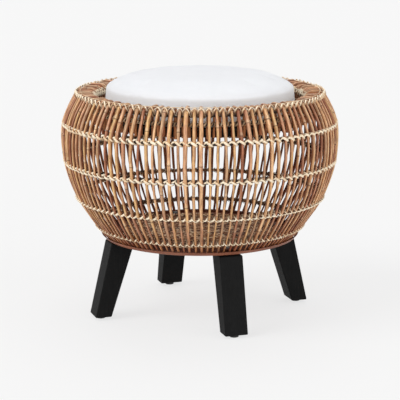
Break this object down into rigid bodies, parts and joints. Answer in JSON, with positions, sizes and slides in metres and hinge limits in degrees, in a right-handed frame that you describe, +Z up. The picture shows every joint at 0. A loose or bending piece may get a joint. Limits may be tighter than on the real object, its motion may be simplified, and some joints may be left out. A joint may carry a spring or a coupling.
{
  "type": "mudda stool",
  "caption": "Globe-shaped mudda stool: a basket of canes lashed to hoops, on four splayed black wooden legs, with a loose round domed cushion in the well at its top.",
  "frame": {"origin": "on the floor, under the middle of the basket", "axes": "+Z up along the basket's axis; the four legs stand at 45 degrees to X and Y"},
  "size_m": [0.5234, 0.5234, 0.4618],
  "materials": {
    "cane": "natural rattan canes under thin varnish, from straw to reddish brown and grey brown",
    "hoop_cane": "dark stained thick cane",
    "peel": "pale split rattan peel, slightly glossy",
    "trim": "smooth reddish brown strip, satin",
    "stained_board": "dark reddish stained plywood",
    "woven_mat": "tightly woven split rattan, brown with pale flecks",
    "black_wood": "black stained wood, satin, with the grain showing",
    "glide": "black nylon",
    "steel": "zinc plated",
    "cushion_cloth": "plain white cotton, fine matt weave"
  },
  "bodies": {
    "basket": {"base_board": "stained_board", "base_hoop": "stained_board", "base_trim": "trim", "bolt_back_left": "steel", "bolt_back_right": "steel", "bolt_front_left": "steel", "bolt_front_right": "steel", "floor_mat": "woven_mat", "glide_back_left": "glide", "glide_back_right": "glide", "glide_front_left": "glide", "glide_front_right": "glide", "hoop_row_2": "hoop_cane", "hoop_row_3": "hoop_cane", "hoop_row_4": "hoop_cane", "hoop_row_5": "hoop_cane", "lashing_row_2": "peel", "lashing_row_3": "peel", "lashing_row_4": "peel", "lashing_row_5": "peel", "leg_back_left": "black_wood", "leg_back_right": "black_wood", "leg_front_left": "black_wood", "leg_front_right": "black_wood", "rim_hoop": "hoop_cane", "rim_lashing": "peel", "seat_board": "black_wood", "shoulder_canes_01": "cane", "shoulder_canes_02": "cane", "shoulder_canes_03": "cane", "shoulder_canes_04": "cane", "shoulder_canes_05": "cane", "shoulder_canes_06": "cane", "shoulder_canes_07": "cane", "shoulder_canes_08": "cane", "shoulder_canes_09": "cane", "shoulder_canes_10": "cane", "shoulder_canes_11": "cane", "shoulder_canes_12": "cane", "shoulder_canes_13": "cane", "shoulder_canes_14": "cane", "wall_canes_01": "cane", "wall_canes_02": "cane", "wall_canes_03": "cane", "wall_canes_04": "cane", "wall_canes_05": "cane", "wall_canes_06": "cane", "wall_canes_07": "cane", "wall_canes_08": "cane", "wall_canes_09": "cane", "wall_canes_10": "cane", "wall_canes_11": "cane", "wall_canes_12": "cane", "wall_canes_13": "cane", "wall_canes_14": "cane", "well_edge_hoop": "hoop_cane", "well_edge_lashing": "peel", "well_lashing": "peel", "well_lower_hoop": "hoop_cane"},
    "cushion": {"cushion": "cushion_cloth"}
  },
  "joints": [
    {"name": "cushion_lift", "type": "slide", "parent": "basket", "child": "cushion", "axis": [0, 0, 1], "range_m": [0, 0.12]}
  ]
}
